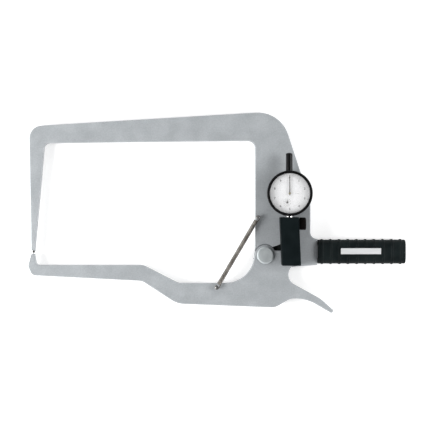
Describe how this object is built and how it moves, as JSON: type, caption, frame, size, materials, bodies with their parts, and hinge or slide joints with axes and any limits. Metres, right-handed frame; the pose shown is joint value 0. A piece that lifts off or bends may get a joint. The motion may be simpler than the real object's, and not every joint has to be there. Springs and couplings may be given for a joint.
{
  "type": "outside dial caliper gauge",
  "caption": "Deep-throat outside caliper with a C-shaped frame, cranked measuring arm, closing spring, thumb lever, ribbed grip and a round dial gauge driven by a cam.",
  "frame": {"origin": "under the middle of the bounding box, with the gauge lying on its back", "axes": "+X along the beam towards the grip, +Y from the thumb lever up to the beam, +Z out of the dial"},
  "size_m": [0.4522, 0.2406, 0.043],
  "materials": {
    "grey_paint": "silver-grey hammer paint on cast metal",
    "grip_black": "moulded black grip",
    "label_aluminium": "bare satin plate",
    "steel": "ground bright",
    "dark_steel": "blackened",
    "spring_steel": "drawn wire",
    "black_anodised": "satin black",
    "gloss_black": "polished black",
    "white_enamel": "matt white printed dial",
    "crystal": "clear",
    "brass": "stamped and turned",
    "bronze": "sintered bush"
  },
  "bodies": {
    "frame_body": {"frame": "grey_paint", "fixed_contact": "dark_steel", "grip": "grip_black", "label_plate": "label_aluminium", "pivot_shaft": "steel", "pivot_washer": "steel", "pivot_nut": "steel", "spring_post_upper": "steel", "gauge_block": "black_anodised", "block_screw_1": "dark_steel", "block_screw_2": "dark_steel", "gauge_case": "black_anodised", "gauge_back_cover": "black_anodised", "gauge_stem": "steel", "spindle_cap": "gloss_black", "dial_plate": "white_enamel", "movement_front_plate": "brass", "movement_rear_plate": "brass", "centre_cock": "brass"},
    "arm_body": {"measuring_arm": "grey_paint", "moving_contact": "steel", "pivot_bush": "bronze", "cam": "steel", "cam_screw": "dark_steel", "spring_post_lower": "steel"},
    "spindle_body": {"spindle": "steel", "contact_point": "steel"},
    "counter_body": {"counter_wheel": "brass", "counter_hand": "dark_steel"},
    "pointer_body": {"centre_arbor": "steel", "main_hand": "dark_steel"},
    "takeup_body": {"takeup_wheel": "brass", "hairspring": "spring_steel"},
    "bezel_body": {"bezel": "gloss_black", "scale_ring": "white_enamel", "crystal": "crystal"},
    "clamp_knob_body": {"clamp_knob": "black_anodised", "clamp_pad": "brass"},
    "spring_upper_body": {"spring_upper_hook": "spring_steel", "spring_coil": "spring_steel"},
    "spring_lower_body": {"spring_lower_hook": "spring_steel"}
  },
  "joints": [
    {"name": "arm_pivot", "type": "hinge", "parent": "frame_body", "child": "arm_body", "pos_m": [0.05831, -0.0509, 0.011], "axis": [0, 0, 1], "range_deg": [0, 20.55], "stiffness_Nm_per_rad": 0.1, "springref_deg": -57.3},
    {"name": "spindle_slide", "type": "slide", "parent": "frame_body", "child": "spindle_body", "axis": [0, 1, 0], "range_m": [0, 0.01]},
    {"name": "counter_turn", "type": "hinge", "parent": "frame_body", "child": "counter_body", "pos_m": [0.08329, 0.01219, 0.033], "axis": [0, 0, 1], "range_deg": [0, 360]},
    {"name": "pointer_turn", "type": "hinge", "parent": "frame_body", "child": "pointer_body", "pos_m": [0.08619, 0.0228, 0.033], "axis": [0, 0, 1], "range_deg": [-3600, 0]},
    {"name": "takeup_turn", "type": "hinge", "parent": "frame_body", "child": "takeup_body", "pos_m": [0.09169, 0.03233, 0.033], "axis": [0, 0, 1], "range_deg": [0, 360]},
    {"name": "bezel_turn", "type": "hinge", "parent": "frame_body", "child": "bezel_body", "pos_m": [0.08619, 0.0228, 0.039], "axis": [0, 0, 1], "continuous": true},
    {"name": "clamp_knob_turn", "type": "hinge", "parent": "frame_body", "child": "clamp_knob_body", "pos_m": [0.1, -0.0131, 0.0285], "axis": [1, 0, 0], "range_deg": [-120, 0]},
    {"name": "spring_swing", "type": "hinge", "parent": "frame_body", "child": "spring_upper_body", "pos_m": [0.04931, -0.0058, 0.0204], "axis": [0, 0, 1], "range_deg": [0, 13]},
    {"name": "spring_stretch", "type": "slide", "parent": "spring_upper_body", "child": "spring_lower_body", "axis": [-0.5064, -0.8623, 0], "range_m": [0, 0.0095], "deforming": ["spring_coil"]}
  ],
  "couplings": [
    {"joint": "spindle_slide", "follows": "arm_pivot", "m_per_rad": 0.02788},
    {"joint": "counter_turn", "follows": "arm_pivot", "ratio": 17.517},
    {"joint": "pointer_turn", "follows": "arm_pivot", "ratio": -175.18},
    {"joint": "takeup_turn", "follows": "arm_pivot", "ratio": 17.517},
    {"joint": "spring_swing", "follows": "arm_pivot", "ratio": 0.63224},
    {"joint": "spring_stretch", "follows": "arm_pivot", "m_per_rad": 0.026435}
  ]
}
